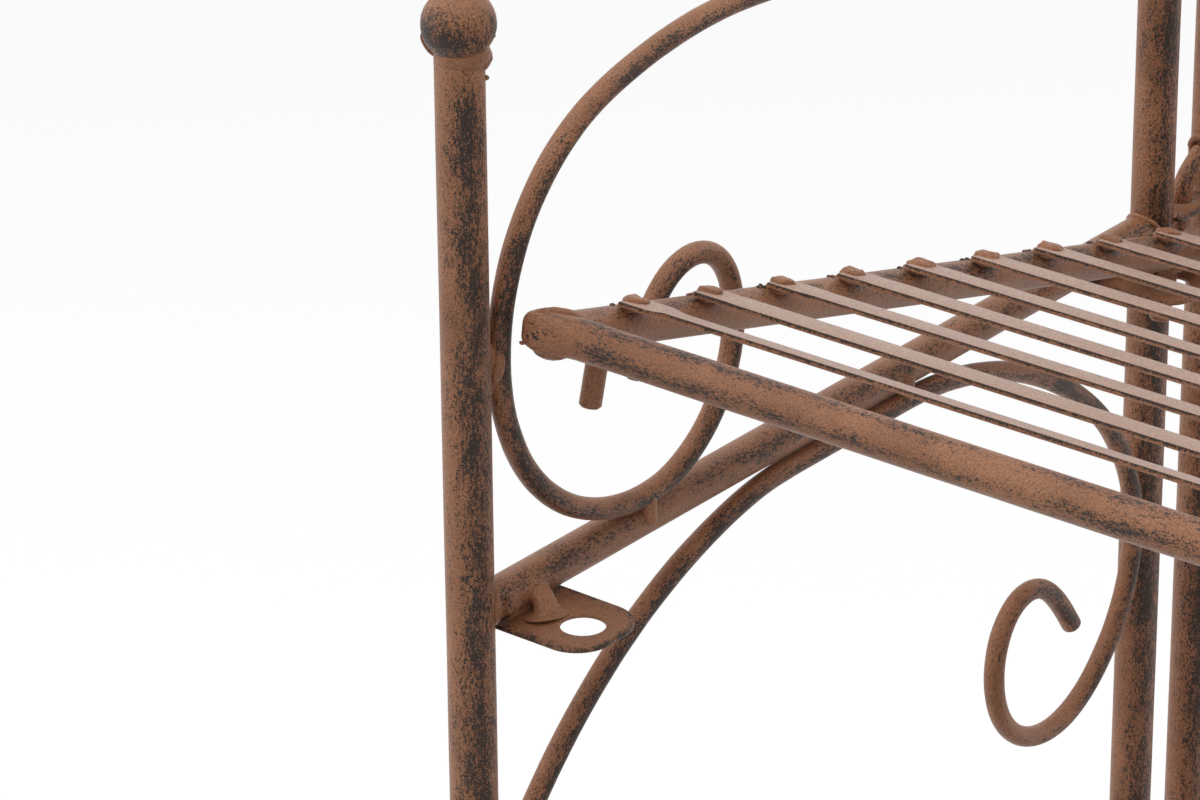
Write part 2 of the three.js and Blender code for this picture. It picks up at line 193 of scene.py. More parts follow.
class Shape:
    """Gathers grids of points into one mesh, with the patina value, which on the slats also holds painted
    reflection and painted shade, and the grain's place at each point.
    """

    def __init__(self, name):
        self.name = name
        self.shift = (crc32(name.encode()) % GRAIN_PLACES) * GRAIN_STEP * MM
        self.points = []
        self.patina_and_painted_light = []
        self.grain = []
        self.faces = []
        self.count = 0

    def add_grid(self, grid, patina_and_painted_light=0.0, grain=None, closed=False):
        """Adds rings of points, each joined to the next, which close up or end in caps."""
        rings, sides = grid.shape[:2]
        index = self.count + np.arange(rings * sides).reshape(rings, sides)
        self.count += rings * sides
        self.points.append(grid.reshape(-1, 3))
        self.patina_and_painted_light.append(np.broadcast_to(patina_and_painted_light, (rings, sides)).flatten())
        self.grain.append((grid if grain is None else grain).reshape(-1, 3) + self.shift)
        for i in range(rings if closed else rings - 1):
            here, there = index[i], index[(i + 1) % rings]
            quads = np.stack([here, there, np.roll(there, -1), np.roll(here, -1)], 1)
            self.faces.extend(quads.tolist())
        if not closed:
            self.faces.extend(index[[0, -1]].tolist())

    def placed(self, matrix):
        """Moves everything gathered so far by a matrix."""
        turn = np.array(matrix.to_3x3())
        shift = np.array(matrix.translation)
        self.points = [points @ turn.T + shift for points in self.points]
        return self

    def join(self, other):
        """Takes another shape's grids into this one."""
        self.faces.extend([[index + self.count for index in face] for face in other.faces])
        self.points += other.points
        self.patina_and_painted_light += other.patina_and_painted_light
        self.grain += other.grain
        self.count += other.count

    def mesh(self):
        mesh = bpy.data.meshes.new(self.name)
        mesh.from_pydata(np.concatenate(self.points).tolist(), [], self.faces)
        # The patina value at each point, which on the slats also holds painted reflection and painted shade
        patina_and_painted_light = mesh.attributes.new("patina_and_painted_light", "FLOAT", "POINT")
        patina_and_painted_light.data.foreach_set("value", np.concatenate(self.patina_and_painted_light).astype(np.float32))
        grain = mesh.attributes.new("grain", "FLOAT_VECTOR", "POINT")
        grain.data.foreach_set("vector", np.concatenate(self.grain).astype(np.float32).ravel())
        tidy = bmesh.new()
        tidy.from_mesh(mesh)
        bmesh.ops.recalc_face_normals(tidy, faces=tidy.faces)
        tidy.to_mesh(mesh)
        tidy.free()
        mesh.shade_smooth()
        mesh.set_sharp_from_angle(angle=SHARP_EDGE)
        return mesh


def lumps(points, size, seed):
    """Smooth noise from -1 to 1 at each point, whose bumps are about as wide as size."""
    places = np.reshape(points, (-1, 3)) / size + (seed, 0, -seed)
    values = [noise.noise(Vector(place)) for place in places]
    return np.reshape(values, np.shape(points)[:-1])


def uneven(shape, grid, outward, dents):
    """The grid with dents of a given depth and width pushed into it."""
    depth, width = dents
    return grid + outward * (depth * lumps(grid, width, shape.shift))[:, :, None]


def facing(outward, *stripes):
    """How squarely each outward direction faces the nearest stripe: 1 along it, 0 square to it."""
    nearest = np.max([outward @ unit(stripe) for stripe in stripes], axis=0)
    return 1 - np.arccos(np.clip(nearest, -1, 1)) / (pi / 2)


def section_ways(path, across, angles, closed=False):
    """The ways outward round a path at each of its points, counted from the one nearest across."""
    if closed:
        along = np.roll(path, -1, axis=0) - np.roll(path, 1, axis=0)
    else:
        along = np.gradient(path, axis=0)
    along = unit(along)
    across = np.broadcast_to(across, path.shape)
    first = unit(across - along * np.sum(across * along, axis=1, keepdims=True))
    second = np.cross(along, first)
    return first[:, None] * np.cos(angles)[:, None] + second[:, None] * np.sin(angles)[:, None]


def bar_grain(radius, angles, run):
    """The grain's places on a round bar, unrolled along its run."""
    run = np.repeat(np.reshape(run, (-1, 1)), len(angles), 1)
    return np.stack([radius * np.cos(angles) + 0 * run, radius * np.sin(angles) + 0 * run, run], 2)


def run_along(path):
    """The length of a path up to each of its points."""
    steps = np.linalg.norm(np.diff(path, axis=0), axis=1)
    return np.concatenate([[0.0], np.cumsum(steps)])


def sweep(shape, path, radius, sides, across, stripe, dents):
    """A round bar along a path. The radius may change from ring to ring."""
    angles = turns(sides)
    outward = section_ways(path, across, angles)
    radius = np.broadcast_to(np.reshape(radius, (-1, 1)), (len(path), sides))
    grid = uneven(shape, path[:, None] + outward * radius[:, :, None], outward, dents)
    shape.add_grid(grid, facing(outward, stripe), bar_grain(radius, angles, run_along(path)))


def between(start, end, step):
    """Evenly spaced points on a straight line."""
    start, end = np.asarray(start, float), np.asarray(end, float)
    count = max(2, int(ceil(np.linalg.norm(end - start) / step)) + 1)
    share = np.linspace(0, 1, count)[:, None]
    return start + (end - start) * share


def arc_pairs(centre, radius, start, end, count):
    """Points on an arc, as pairs of numbers."""
    x, y = centre
    return [(x + radius * cos(a), y + radius * sin(a)) for a in np.linspace(start, end, count)]


def lathe(shape, profile, sides, stripe=UP, dents=None, base=(0, 0, 0), closed=True):
    """A profile of radius and height pairs turned about an upright axis."""
    radius, height = np.array(profile, float).T[:, :, None, None]
    outward = circle(0, 0, 1, turns(sides))
    grid = outward * radius + UP * height
    if dents:
        grid = uneven(shape, grid, outward, dents)
    shape.add_grid(grid + np.asarray(base), facing(outward, stripe), grid, closed)


def weld_swell(shape, points, broad, fine, rough, seed):
    """How much each point of a weld swells, in broad lumps with finer ones on them."""
    return 1 + rough * lumps(points, broad, shape.shift + seed) + 0.4 * rough * lumps(points, fine, seed)


def bead(shape, path, radius, across=UP, patina_and_painted_light=0.0, closed=False, rough=0.28, sides=BEAD_SIDES, seed=0.0,
         blunt=3.2, stretch=(1, 1, 1)):
    """A lumpy run of weld along a path, with rounded ends that a higher blunt squares off."""
    path = np.asarray(path, float)
    share = np.linspace(-1, 1, len(path))
    ends = 1 if closed else np.sqrt(np.maximum(1 - np.abs(share) ** blunt, 0.004))
    outward = section_ways(path, across, turns(sides), closed) * stretch
    broad = np.max(radius) * 1.6
    radius = np.broadcast_to(radius * ends, len(path))[:, None, None]
    swell = weld_swell(shape, path[:, None] + outward * radius, broad, broad / 3, rough, seed)
    shape.add_grid(path[:, None] + outward * (radius * swell[:, :, None]), patina_and_painted_light, closed=closed)


def nugget(shape, centre, radii, turn=0.0, patina_and_painted_light=0.0, rough=0.25, seed=0.0, boxy=2.0, fine=1):
    """An uneven lump of weld, round or boxy, with radii in millimetres and poles along X before its turn."""
    rings, sides = 12 * fine, 16 * fine
    lift = (pi * (np.arange(rings) + 0.5) / rings)[:, None]
    angles = turns(sides)
    ball = np.stack(np.broadcast_arrays(
        np.cos(lift), np.sin(lift) * np.cos(angles), np.sin(lift) * np.sin(angles)), 2)
    ball = ball / np.sum(np.abs(ball) ** boxy, axis=2, keepdims=True) ** (1 / boxy)
    swell = weld_swell(shape, ball, 0.8, 0.3, rough, seed)
    c, s = cos(turn), sin(turn)
    turned = np.array([[c, s, 0], [-s, c, 0], [0, 0, 1]])
    shape.add_grid(ball * swell[:, :, None] * np.array(radii) * MM @ turned + np.asarray(centre), patina_and_painted_light)


# Finishes

class Nodes:
    """Short ways to build the nodes of a material or a world."""

    def __init__(self, owner):
        owner.use_nodes = True
        self.tree = owner.node_tree

    def feed(self, socket, value):
        """Sets a socket to a value, or links it to another node's output."""
        if isinstance(value, bpy.types.NodeSocket):
            self.tree.links.new(value, socket)
        else:
            socket.default_value = value

    def fill(self, node, inputs):
        for name, value in inputs.items():
            self.feed(node.inputs[name], value)

    def add(self, kind, inputs, **settings):
        node = self.tree.nodes.new("ShaderNode" + kind)
        for name, value in settings.items():
            setattr(node, name, value)
        self.fill(node, inputs)
        return node

    def attribute(self, name, output):
        return self.add("Attribute", {}, attribute_name=name).outputs[output]

    def noise(self, place, scale, detail=3.0, rough=0.6):
        inputs = {"Vector": place, "Scale": scale, "Detail": detail, "Roughness": rough}
        return self.add("TexNoise", inputs).outputs["Fac"]

    def math(self, operation, *values):
        return self.add("Math", dict(enumerate(values)), operation=operation).outputs[0]

    def step(self, value, low, high, to_low=0.0, to_high=1.0):
        inputs = {"Value": value, "From Min": low, "From Max": high, "To Min": to_low, "To Max": to_high}
        return self.add("MapRange", inputs, interpolation_type="SMOOTHSTEP").outputs["Result"]

    def mix(self, share, first, second):
        node = self.add("Mix", {"Factor": share}, data_type="RGBA")
        sockets = [socket for socket in node.inputs if socket.type == "RGBA"]
        self.feed(sockets[0], first)
        self.feed(sockets[1], second)
        return [socket for socket in node.outputs if socket.type == "RGBA"][0]

    def bump(self, height, strength, distance, **normal):
        inputs = {"Height": height, "Strength": strength, "Distance": distance, **normal}
        return self.add("Bump", inputs).outputs["Normal"]


def linear(*channels):
    """A screen colour from 0 to 255 as the renderer's linear colour."""
    shares = [value / 255 for value in channels]
    return (*(s / 12.92 if s <= 0.04045 else ((s + 0.055) / 1.055) ** 2.4 for s in shares), 1.0)


BROWN = linear(151, 100, 68)
LIGHT_BROWN = linear(172, 118, 84)
DEEP_BROWN = linear(113, 73, 49)
PATINA = linear(30, 23, 20)
# Painted reflection: the pale brown that the slats' tops are mixed towards, standing in for the pale
# surroundings they reflect
PAINTED_REFLECTION_BROWN = linear(203, 166, 146)
BLACK = linear(38, 35, 34)
DUST = linear(86, 78, 72)

# How fine each layer of the paint's pattern is, in bumps to the metre
TONE_SCALE = 32
PATCH_SCALE = 55
DENT_SCALE = 300
CLUSTER_SCALE = 330
STREAK_SCALE = 1700
SAND_SCALE = 1900
SPECK_SCALE = 3100
# The patina's layers are drawn out along a bar by this
DRAWN = (1.0, 1.0, 0.4)

# How strongly each layer of the patina's pattern counts beside its place round the tube
STRIPE_PULL = 1.25
PATCH_PULL = 1.7
CLUSTER_PULL = 1.9
STREAK_PULL = 3.0
SPECK_PULL = 3.4

DENT_HEIGHT = 0.2 * MM
SAND_HEIGHT = 0.32 * MM
PAINT_SPECULAR = 0.35
SHEEN_ROUGHNESS = 0.3


def antique_brown(name, reach, gloss=0.42, sheen=0.14, pale=0.0, patchy=PATCH_PULL):
    """Satin brown paint with a sandy grain and a dark patina that is dabbed on in speckled streaks.

    A lower reach lets the patina spread further. Pale lightens the tops, where the patina value is below
    zero, with a painted reflection of the pale surroundings seen at a grazing angle.
    """
    material = bpy.data.materials.new(name)
    nodes = Nodes(material)
    place = nodes.attribute("grain", "Vector")
    patina_and_painted_light = nodes.attribute("patina_and_painted_light", "Fac")
    drawn = nodes.add("Mapping", {"Vector": place, "Scale": DRAWN}).outputs["Vector"]
    patches = nodes.noise(drawn, PATCH_SCALE, 2.0)
    clusters = nodes.noise(drawn, CLUSTER_SCALE, 2.0)
    streaks = nodes.noise(drawn, STREAK_SCALE, 1.5)
    specks = nodes.noise(place, SPECK_SCALE, 1.0)
    sand = nodes.noise(place, SAND_SCALE, 1.5)
    tone = nodes.noise(place, TONE_SCALE)

    broad = nodes.math("MULTIPLY", patina_and_painted_light, STRIPE_PULL)
    broad = nodes.math("MULTIPLY_ADD", patches, patchy, broad)
    broad = nodes.math("MULTIPLY_ADD", clusters, CLUSTER_PULL, broad)
    level = nodes.math("MULTIPLY_ADD", streaks, STREAK_PULL, broad)
    level = nodes.math("MULTIPLY_ADD", specks, SPECK_PULL, level)
    base = reach + (patchy + CLUSTER_PULL) / 2
    edge = base + (STREAK_PULL + SPECK_PULL) / 2
    dark = nodes.step(level, edge - 0.14, edge + 0.2, 0.0, 0.94)
    haze = nodes.step(broad, base - 0.6, base + 0.5, 0.0, 0.4)
    pits = nodes.step(specks, 0.61, 0.68, 0.0, 0.75)

    brown = nodes.mix(nodes.step(tone, 0.35, 0.65), BROWN, LIGHT_BROWN)
    # Painted reflection: where the patina value is below zero, as on the slats' tops, the brown turns pale
    if pale:
        brown = nodes.mix(nodes.step(patina_and_painted_light, -0.1, 0.3, pale, 0.0), brown, PAINTED_REFLECTION_BROWN)
    brown = nodes.mix(nodes.step(sand, 0.36, 0.66, 0.0, 0.55), brown, DEEP_BROWN)
    brown = nodes.mix(haze, brown, DEEP_BROWN)
    brown = nodes.mix(pits, brown, PATINA)
    dents = nodes.bump(nodes.noise(place, DENT_SCALE, 2.0), 0.25, DENT_HEIGHT)
    nodes.fill(nodes.tree.nodes["Principled BSDF"], {
        "Base Color": nodes.mix(dark, brown, PATINA),
        "Roughness": nodes.step(dark, 0.0, 1.0, gloss, gloss + 0.06),
        "Normal": nodes.bump(sand, 1.0, SAND_HEIGHT, Normal=dents),
        "Specular IOR Level": PAINT_SPECULAR,
        "Sheen Weight": sheen,
        "Sheen Roughness": SHEEN_ROUGHNESS,
    })
    return material


def black_plastic(name):
    """Moulded black plastic, dull, with a fine grain and a thin uneven dust."""
    material = bpy.data.materials.new(name)
    nodes = Nodes(material)
    place = nodes.attribute("grain", "Vector")
    dust = nodes.noise(place, 180)
    grain = nodes.noise(place, 3000, 2.0)
    nodes.fill(nodes.tree.nodes["Principled BSDF"], {
        "Base Color": nodes.mix(nodes.step(dust, 0.5, 0.8, 0.0, 0.35), BLACK, DUST),
        "Roughness": nodes.step(dust, 0.3, 0.8, 0.42, 0.62),
        "Normal": nodes.bump(grain, 0.3, 0.08 * MM),
    })
    return material


FINISHES = {
    "post_paint": antique_brown("post_brown", 0.8),
    "rail_paint": antique_brown("rail_brown", 1.25, gloss=0.37),
    "wire_paint": antique_brown("wire_brown", 0.95, patchy=3.0),
    "plate_paint": antique_brown("plate_brown", 1.25, gloss=0.37, sheen=0.2),
    # The slats' paint carries a painted reflection on their tops
    "slat_paint": antique_brown("slat_brown", 1.3, sheen=0.35, pale=0.95),
    "foot_plastic": black_plastic("foot_black"),
}


def add_object(name, data):
    made = bpy.data.objects.new(name, data)
    bpy.context.scene.collection.objects.link(made)
    return made


def piece(shape, slot, body, *nodes):
    """Makes the gathered mesh an object that rides on a body and may stand for solids."""
    made = add_object(shape.name, shape.mesh())
    made.data.materials.append(FINISHES[slot])
    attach(made, body)
    if nodes:
        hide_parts(*nodes)


# Posts, balls and feet

# The patina fades out under a ball's weld, by this much and over this length
FADE = 1.1
FADE_LENGTH = 12 * MM
# Ways from a left-hand post's axis to the weld's bulge, its front and a drop of spatter on the ball
BULGE_WAY = (0.78, 0.63, 0)
FRONT_WAY = (0.88, -0.48, 0)
DROP_WAY = (0.56, 0.71, -0.42)


def post(node, x, y, stripe):
    low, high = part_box(node)
    bore = POST_RADIUS - TUBE_WALL
    soft = 0.25 * MM
    heights = np.linspace(low.z, high.z - soft, int((high.z - low.z) / TUBE_STEP))
    profile = [(bore, low.z)] + [(POST_RADIUS, z) for z in heights]
    profile += [(POST_RADIUS - soft, high.z), (bore, high.z)]
    shape = Shape(f"{node}_painted")
    lathe(shape, profile, POST_SIDES, stripe, TUBE_DENTS, (x, y, 0))
    left = np.clip((high.z - shape.points[-1][:, 2]) / FADE_LENGTH, 0, 1)
    shape.patina_and_painted_light[-1] -= FADE * (1 - left) ** 2
    piece(shape, "post_paint", "rack", node)


def ball(node, x, y, stripe):
    low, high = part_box(node)
    centre = high.z - BALL_RADIUS
    plug = POST_RADIUS - TUBE_WALL - GAP
    neck = acos(-sqrt(1 - (plug / BALL_RADIUS) ** 2))
    bands = 40
    profile = [(0.4 * MM, low.z + 0.3 * MM), (plug - 0.5 * MM, low.z + 0.3 * MM), (plug, low.z + 0.8 * MM)]
    for i in range(bands + 1):
        angle = neck * (1 - i / bands)
        profile.append((max(BALL_RADIUS * sin(angle), 0.05 * MM), centre + BALL_RADIUS * cos(angle)))
    shape = Shape(f"{node}_painted")
    lathe(shape, profile, POST_SIDES, stripe, BALL_DENTS, (x, y, 0), closed=False)
    # The patina lies round the ball's lower half, and on its stripe round the middle
    height = (shape.points[-1][:, 2] - centre) / BALL_RADIUS
    sideways = 0.4 * (1 - np.abs(shape.patina_and_painted_light[-1]))
    on_middle = (height > -0.35) & (height < 0.6)
    shape.patina_and_painted_light[-1] = 0.82 - 0.85 * np.abs(height + 0.3) + sideways * on_middle
    piece(shape, "post_paint", "rack", node)
    return centre


def ball_weld(node, x, y, centre, side):
    """The weld under a ball: a run round the neck, a bulge, two drops of spatter and a lip."""
    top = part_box(node)[1].z
    shape = Shape(f"{node}_ball_weld_beads")
    out, front, drop = (unit(np.array(way) * (-side, 1, 1)) for way in (BULGE_WAY, FRONT_WAY, DROP_WAY))
    angles = turns(40)
    ring = circle(x, y, POST_RADIUS - 2.3 * MM, angles, top + 0.7 * MM)
    full = 0.5 + 0.5 * np.maximum(circle(0, 0, 1, angles) @ (out + front) / 1.5, -1)
    swell = (2.4 + 1.2 * full ** 2 + 0.1 * np.sin(3 * angles)) * MM
    bead(shape, ring, swell, closed=True, rough=0.06, patina_and_painted_light=-0.1, sides=28)
    neck = np.array((x, y, top))
    middle_of_ball = np.array((x, y, centre))
    nugget(shape, neck + (out * 5.1 - UP * 0.5) * MM, (2.5, 2.5, 3.6), seed=1.0, rough=0.15, fine=2)
    nugget(shape, neck + (out * 5.9 - UP * 5.8) * MM, (1.0, 0.9, 0.7), seed=3.0)
    nugget(shape, middle_of_ball + drop * (BALL_RADIUS + 0.2 * MM), (0.5, 0.5, 0.4), seed=2.0)
    share = np.linspace(0, 1, 14)[:, None]
    below = np.radians(14 + 42 * share)
    reach = BALL_RADIUS + (0.05 + 0.75 * share) * MM
    lip = middle_of_ball - (out * np.cos(below) + UP * np.sin(below)) * reach
    bead(shape, lip, 0.6 * MM, out, rough=0.12, seed=4.0)
    piece(shape, "post_paint", "rack")


def foot(node, x, y):
    """A plastic cup with three grooves round it."""
    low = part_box(node)[0]
    inner = POST_RADIUS + 0.05 * MM
    outer = POST_RADIUS + GAP + FOOT_WALL
    soft = 0.8 * MM
    groove = 0.25 * MM
    profile = [(0.2 * MM, 0), (outer - soft, 0), *arc_pairs((outer - soft, soft), soft, -pi / 2, 0, 6)]
    for z in (5 * MM, 8 * MM, 11 * MM):
        profile += [(outer, z), (outer - groove, z + 0.4 * MM), (outer - groove, z + 0.9 * MM)]
        profile += [(outer, z + 1.3 * MM)]
    profile += arc_pairs((outer - soft / 2, FOOT_HEIGHT - soft / 2), soft / 2, 0, pi / 2, 5)
    profile += [(inner, FOOT_HEIGHT), (inner, FOOT_FLOOR), (0.2 * MM, FOOT_FLOOR)]
    shape = Shape(f"{node}_moulded")
    lathe(shape, profile, POST_SIDES, base=(x, y, low.z))
    piece(shape, "foot_plastic", "rack", node)


def dressed_post(name, x, y, side):
    stripe = (POST_STRIPE[0] * -side, POST_STRIPE[1], 0)
    post(f"{name}_post", x, y, stripe)
    centre = ball(f"{name}_ball", x, y, stripe)
    ball_weld(f"{name}_post", x, y, centre, side)
    foot(f"{name}_foot", x, y)


# Wire that is bent in a side frame's plane

def bent(start, heading, moves, step=WIRE_STEP):
    """Points along arcs of radius and sweep. A sweep of zero means a straight length."""
    points = [start]
    y, z = start
    for radius, degrees in moves:
        turn = radians(degrees)
        count = max(1, ceil((abs(turn) if turn else 1) * radius / step))
        for i in range(1, count + 1):
            if turn:
                side = 1 if turn > 0 else -1
                now = heading + turn * i / count
                points.append((
                    y - side * radius * (sin(heading) - sin(now)),
                    z + side * radius * (cos(heading) - cos(now)),
                ))
            else:
                share = radius * i / count
                points.append((y + share * cos(heading), z + share * sin(heading)))
        y, z = points[-1]
        heading += turn
    return np.array(points)


def eased(line):
    """The same line with the steps in its curvature blended, and its ends kept."""
    reach = int(3 * CURVE_BLEND / WIRE_STEP)
    weights = np.exp(-0.5 * (np.arange(-reach, reach + 1) * WIRE_STEP / CURVE_BLEND) ** 2)
    weights /= weights.sum()

    def blurred(points):
        before = 2 * points[0] - points[reach:0:-1]
        after = 2 * points[-1] - points[-2:-reach - 2:-1]
        padded = np.concatenate([before, points, after])
        return np.stack([np.convolve(padded[:, k], weights, "valid") for k in range(2)], 1)

    first = blurred(line)
    return 2 * first - blurred(first)


def wire_reach(radius):
    return sqrt((radius + WIRE_RADIUS + GAP) ** 2 - WIRE_INSET ** 2)


FRONT_TOUCH = wire_reach(POST_RADIUS)
REAR_TOUCH = FRAME_DEPTH - FRONT_TOUCH
SPAN = REAR_TOUCH - FRONT_TOUCH
RAIL_TOUCH = wire_reach(RAIL_RADIUS)


def arcs(shares):
    return [(share * SPAN, degrees) for share, degrees in shares]


def depth_of(heading, moves):
    return bent((0.0, 0.0), heading, moves)[-1][0]


def standing_line():
    curl, rise = arcs(STAND_CURL), arcs(STAND_RISE)
    touch = (FRONT_TOUCH, RAIL_TOUCH + curl[0][0])
    turned = pi / 2 + sum(radians(degrees) for _, degrees in rise)
    left = SPAN - depth_of(pi / 2, rise)
    upright = (left / (1 - sin(turned)), 90 - turned * 180 / pi)
    down = bent(touch, -pi / 2, curl)
    up = bent(touch, pi / 2, [*rise, upright, *arcs(STAND_TOP)])
    return np.concatenate([down[::-1], up[1:]])


def hanging_line():
    rear, front, curl = arcs(HANG_REAR), arcs(HANG_FRONT), arcs(HANG_CURL)
    mirrored = [(radius, -degrees) for radius, degrees in curl]
    crown = (REAR_TOUCH - depth_of(0, rear), -RAIL_TOUCH)
    length = SPAN - depth_of(0, rear) + depth_of(pi, front)
    back = bent(crown, 0, [*rear, *curl])
    fore = bent(crown, pi, [(length, 0), *front, *mirrored])
    return np.concatenate([fore[::-1], back[1:]]), crown


def wire_piece(node, line, place):
    """A bent round wire whose cut ends are chamfered and dark."""
    line = eased(line)
    points = np.column_stack([np.full(len(line), WIRE_INSET), line])
    first = points[0] + unit(points[0] - points[1]) * WIRE_CHAMFER
    last = points[-1] + unit(points[-1] - points[-2]) * WIRE_CHAMFER
    points = np.concatenate([[first], points, [last]])
    radius = np.full(len(points), WIRE_RADIUS)
    radius[[0, -1]] -= WIRE_CHAMFER
    shape = Shape(f"{node}_painted")
    sweep(shape, points, radius, WIRE_SIDES, (1, 0, 0), WIRE_STRIPE, WIRE_DENTS)
    shape.patina_and_painted_light[-1][:WIRE_SIDES] = CUT_WEAR
    shape.patina_and_painted_light[-1][-WIRE_SIDES:] = CUT_WEAR
    piece(shape.placed(place), "wire_paint", "rack", node)


# Tubes whose ends are shaped to the posts

def reach_to_post(lateral):
    """Distance along a rail from a post's axis to the post's surface."""
    return np.sqrt(POST_RADIUS ** 2 - np.minimum(np.abs(lateral), POST_RADIUS * 0.999) ** 2)


def coped_tube(shape, length, stripe):
    """A rail from one post's axis to the next along Y, cut to both posts' surfaces."""
    path = between((0, 0, 0), (0, length, 0), TUBE_STEP)[2:-2]
    path = np.concatenate([path[:1], path, path[-1:]])
    path[0, 1] = POST_RADIUS
    path[-1, 1] = length - POST_RADIUS
    angles = turns(RAIL_SIDES)
    outward = np.stack([np.cos(angles), np.zeros(RAIL_SIDES), np.sin(angles)], 1)
    grid = path[:, None] + outward * RAIL_RADIUS
    grid[0, :, 1] = reach_to_post(outward[:, 0] * RAIL_RADIUS) - 0.1 * MM
    grid[-1, :, 1] = length - grid[0, :, 1]
    grid[1:-1] = uneven(shape, grid[1:-1], outward, TUBE_DENTS)
    shape.add_grid(grid, facing(outward, stripe), bar_grain(RAIL_RADIUS, angles, path[:, 1]))


def saddle(shape, length, at_end, radius, seed):
    """The weld all round a rail's end on its post."""
    angles = turns(44)
    reach = RAIL_RADIUS + 0.1 * MM
    x, z = reach * np.cos(angles), reach * np.sin(angles)
    y = np.sqrt((POST_RADIUS + 0.3 * MM) ** 2 - x ** 2)
    if at_end:
        y = length - y
    swell = radius * (1 + 0.25 * np.sin(2 * angles + seed) + 0.12 * np.sin(5 * angles + 2 * seed))
    bead(shape, np.stack([x, y, z], 1), swell, (0, 1, 0), closed=True, seed=seed, rough=0.2)


def rail(name, tier, place, length, stripe, far_weld, seed):
    """A rail's own piece, and a shape for the welds round it that already holds those at its ends."""
    node = f"{name}_rail_{tier}"
    tube = Shape(f"{node}_painted")
    coped_tube(tube, length, stripe)
    piece(tube.placed(place), "rail_paint", "rack", node)
    welds = Shape(f"{name}_{tier}_rail_weld_beads")
    saddle(welds, length, False, 1.0 * MM, seed)
    saddle(welds, length, True, far_weld, seed + 1.0)
    return welds


# Flat plates with a hole: start along X, width, hole's reach and radius, margin past it, corner radius,
# and the place of the post that the start is cut to, if it is, measured from the hole

TAB = (-RAIL_RADIUS, TAB_WIDTH, TAB_HOLE_REACH, TAB_HOLE_RADIUS, TAB_END_MARGIN, TAB_CORNER, None)
LUG = (
    POST_RADIUS / 2, LUG_WIDTH, LUG_HOLE_REACH, LUG_HOLE_RADIUS, LUG_END_MARGIN, LUG_WIDTH / 2,
    -LUG_HOLE_REACH,
)
EDGE_WEAR = 1.1
ALMOST_NONE = 1e-9


def edge_distance(angle, start, width, reach, hole, margin, corner, post_at):
    """Distance from the hole's middle to the plate's edge in one direction."""
    c, s = cos(angle), sin(angle)
    far = hole + margin
    half = width / 2
    hits = []
    if abs(c) > ALMOST_NONE:
        hits.append((far if c > 0 else start - reach) / c)
    if abs(s) > ALMOST_NONE:
        hits.append(half / abs(s))
    hit = min(hits)
    cx, cy = far - corner, half - corner
    if hit * c > cx and abs(hit * s) > cy:
        b = c * cx + abs(s) * cy
        hit = b + sqrt(max(b * b - (cx * cx + cy * cy - corner * corner), 0))
    if post_at is not None:
        b = c * post_at
        inside = b * b - (post_at ** 2 - (POST_RADIUS + 0.1 * MM) ** 2)
        if inside > 0 and b > 0:
            hit = min(hit, b - sqrt(inside))
    return hit


def plate(node, place, sizes):
    """A plate along X, upper face at zero, with soft edges and a round hole."""
    count = 120
    soft = 0.18 * MM
    low, high = -PLATE_THICKNESS, 0.0
    reach, hole = sizes[2:4]
    angles = turns(count)
    outer = np.array([edge_distance(angle, *sizes) for angle in angles])
    inner = np.full(count, hole)
    middle_way = (inner + outer) / 2
    grid = np.array([circle(reach, 0, radius, angles, z) for radius, z in (
        (inner, low + soft), (inner + soft, low), (middle_way, low), (outer - soft, low),
        (outer, low + soft), (outer, high - soft), (outer - soft, high), (middle_way, high),
        (inner + soft, high), (inner, high - soft),
    )])
    edge = np.zeros(grid.shape[:2])
    edge[3:7] = EDGE_WEAR
    shape = Shape(f"{node}_painted")
    shape.add_grid(grid, edge, closed=True)
    piece(shape.placed(place), "plate_paint", "rack", node)


# Side frames, in axes of their own: X inwards from the posts, Y back from the front post

# Middle lines of welds in millimetres: from rail to tab, from post to wire and from rail to wire
TAB_WEB = (
    (1.0, 2.4, -1.0), (3.4, 2.2, -1.5), (5.7, 1.7, -2.3), (7.4, 0.9, -3.3), (8.4, 0.3, -4.6),
    (8.7, 0, -6.2),
)
POST_WEB = ((3.2, 0.6, 8.0), (3.9, -0.2, 5.0), (4.3, -1.3, 2.0), (4.2, -2.5, -1.0), (3.2, -3.4, -4.4))
RAIL_NECK = ((3.4, 0, 8.6), (4.0, 0, 5.8), (4.2, 0, 3.0), (3.9, 0.2, -0.6))


def side_place(side, z):
    mirror = Matrix.Diagonal((-side, 1, 1, 1))
    return Matrix.Translation((side * POST_X, FRONT_Y, z)) @ mirror


def through(corners, count, flip):
    """A fine run of points along a few corner points given in millimetres, flipped along some axes."""
    corners = np.array(corners) * MM * flip
    place = np.linspace(0, len(corners) - 1, count)
    return np.array([np.interp(place, range(len(corners)), corners[:, k]) for k in range(3)]).T


def seam(shape, centre, reach, step, radius, across=UP, seed=0.0, rough=0.28):
    """A straight run of weld, as long to both sides of its centre."""
    centre, reach = np.array(centre), np.array(reach)
    bead(shape, between(centre - reach, centre + reach, step), radius, across, seed=seed, rough=rough)


